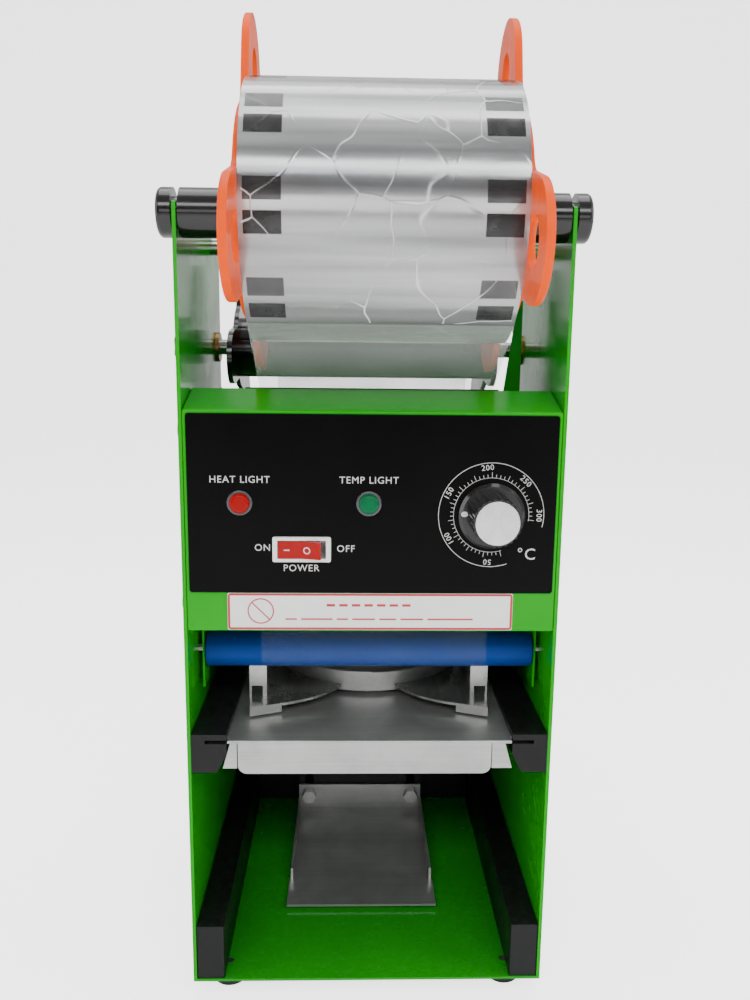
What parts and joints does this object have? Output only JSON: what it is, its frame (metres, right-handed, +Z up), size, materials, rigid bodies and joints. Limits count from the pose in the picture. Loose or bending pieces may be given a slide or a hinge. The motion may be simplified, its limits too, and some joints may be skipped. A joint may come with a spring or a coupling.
{
  "type": "cup sealing machine",
  "caption": "Hand-lever cup sealer: upright sheet body, film roll between clover discs, control box, heated head over a sliding cup-ring drawer, take-up reel and adjustable cup rest.",
  "frame": {"origin": "centre of the bounding box in X and Y, on the surface the rubber feet stand on", "axes": "+X to the user's right (the lever's side), -Y towards the user, +Z up"},
  "size_m": [0.249, 0.327, 0.5404],
  "materials": {
    "green_paint": "gloss powder coat",
    "black_paint": "satin",
    "black_rubber": "matt",
    "black_plastic": "fine texture",
    "panel_black": "printed overlay",
    "label_white": "printed label",
    "red_lens": "clear tinted lens",
    "green_lens": "clear tinted lens",
    "bezel_grey": "polished",
    "white_plastic": "semi gloss",
    "red_plastic": "gloss",
    "orange_plastic": "moulded",
    "clear_film": "clear wound film",
    "card_core": "pressed card",
    "blue_rubber": "smooth",
    "bright_steel": "ground",
    "stainless": "brushed",
    "machined_aluminium": "turned",
    "tool_steel": "hardened",
    "bronze": "sintered",
    "silicone_red": "soft",
    "zinc_hardware": "zinc plated"
  },
  "bodies": {
    "frame": {"side_plate_left": "green_paint", "side_plate_right": "green_paint", "base_plate": "green_paint", "base_bars": "black_paint", "rubber_feet": "black_rubber", "rear_cover": "black_paint", "cable_gland": "black_plastic", "control_box": "green_paint", "slot_strip": "black_paint", "control_panel": "panel_black", "blank_label": "label_white", "heat_lamp": "red_lens", "ready_lamp": "green_lens", "lamp_bezels": "bezel_grey", "switch_housing": "white_plastic", "thermostat_body": "black_plastic", "terminal_block": "white_plastic", "film_web": "clear_film", "roller_spindles": "bright_steel", "roller_brackets": "green_paint", "drawer_rails": "black_paint", "head_bridge": "machined_aluminium", "bronze_bushes": "bronze", "head_cover": "green_paint", "rear_tie_rod": "bright_steel", "reel_bracket": "green_paint", "rest_back_plate": "black_paint", "body_screws": "zinc_hardware", "return_springs": "tool_steel"},
    "film_shaft": {"film_shaft": "black_plastic", "film_disc_left": "orange_plastic", "film_disc_right": "orange_plastic"},
    "film_roll": {"film_core": "card_core", "film_roll": "clear_film"},
    "take_up_reel": {"reel_shaft": "bright_steel", "reel_core": "black_plastic", "reel_discs": "black_plastic", "reel_knob": "black_plastic"},
    "front_roller": {"front_roller": "blue_rubber"},
    "rear_roller": {"rear_roller": "bright_steel"},
    "lever": {"cross_shaft": "bright_steel", "pinion": "tool_steel", "lever_arm": "stainless", "lever_grip": "black_plastic"},
    "head": {"heating_plate": "machined_aluminium", "heater_cartridges": "tool_steel", "cutter_ring": "tool_steel", "head_carriage": "machined_aluminium", "guide_rods": "bright_steel", "head_rack": "tool_steel"},
    "drawer": {"drawer_plate": "stainless", "cup_ring": "machined_aluminium", "ring_gasket": "silicone_red", "ring_wings": "stainless"},
    "cup_rest": {"cup_rest_tray": "stainless", "cup_rest_bracket": "stainless", "rest_bolts": "zinc_hardware"},
    "thermostat_knob": {"thermostat_knob": "black_plastic", "knob_cap": "machined_aluminium"},
    "rocker": {"rocker": "red_plastic"}
  },
  "joints": [
    {"name": "film_shaft_lift", "type": "slide", "parent": "frame", "child": "film_shaft", "axis": [0, 0, 1], "range_m": [0, 0.05]},
    {"name": "film_roll_turn", "type": "hinge", "parent": "film_shaft", "child": "film_roll", "pos_m": [0, -0.06353, 0.4405], "axis": [1, 0, 0], "continuous": true},
    {"name": "reel_turn", "type": "hinge", "parent": "frame", "child": "take_up_reel", "pos_m": [0, 0.05447, 0.372], "axis": [1, 0, 0], "continuous": true},
    {"name": "front_roller_turn", "type": "hinge", "parent": "frame", "child": "front_roller", "pos_m": [0, -0.03753, 0.199], "axis": [1, 0, 0], "continuous": true},
    {"name": "rear_roller_turn", "type": "hinge", "parent": "frame", "child": "rear_roller", "pos_m": [0, 0.11647, 0.1965], "axis": [1, 0, 0], "continuous": true},
    {"name": "lever_pull", "type": "hinge", "parent": "frame", "child": "lever", "pos_m": [0, 0.06947, 0.262], "axis": [1, 0, 0], "range_deg": [0, 64.4]},
    {"name": "head_press", "type": "slide", "parent": "frame", "child": "head", "axis": [0, 0, -1], "range_m": [0, 0.018], "stiffness_N_per_m": 200, "springref_m": -0.045, "deforming": ["return_springs", "film_web"]},
    {"name": "drawer_slide", "type": "slide", "parent": "frame", "child": "drawer", "axis": [0, -1, 0], "range_m": [0, 0.175]},
    {"name": "cup_rest_height", "type": "slide", "parent": "frame", "child": "cup_rest", "axis": [0, 0, 1], "range_m": [0, 0.04]},
    {"name": "thermostat_turn", "type": "hinge", "parent": "frame", "child": "thermostat_knob", "pos_m": [0.063, -0.08553, 0.287], "axis": [0, 1, 0], "range_deg": [-118, 186]},
    {"name": "rocker_tip", "type": "hinge", "parent": "frame", "child": "rocker", "pos_m": [-0.0375, -0.07153, 0.268], "axis": [0, 0, 1], "range_deg": [0, 16]}
  ],
  "couplings": [
    {"joint": "head_press", "follows": "lever_pull", "m_per_rad": 0.016}
  ]
}
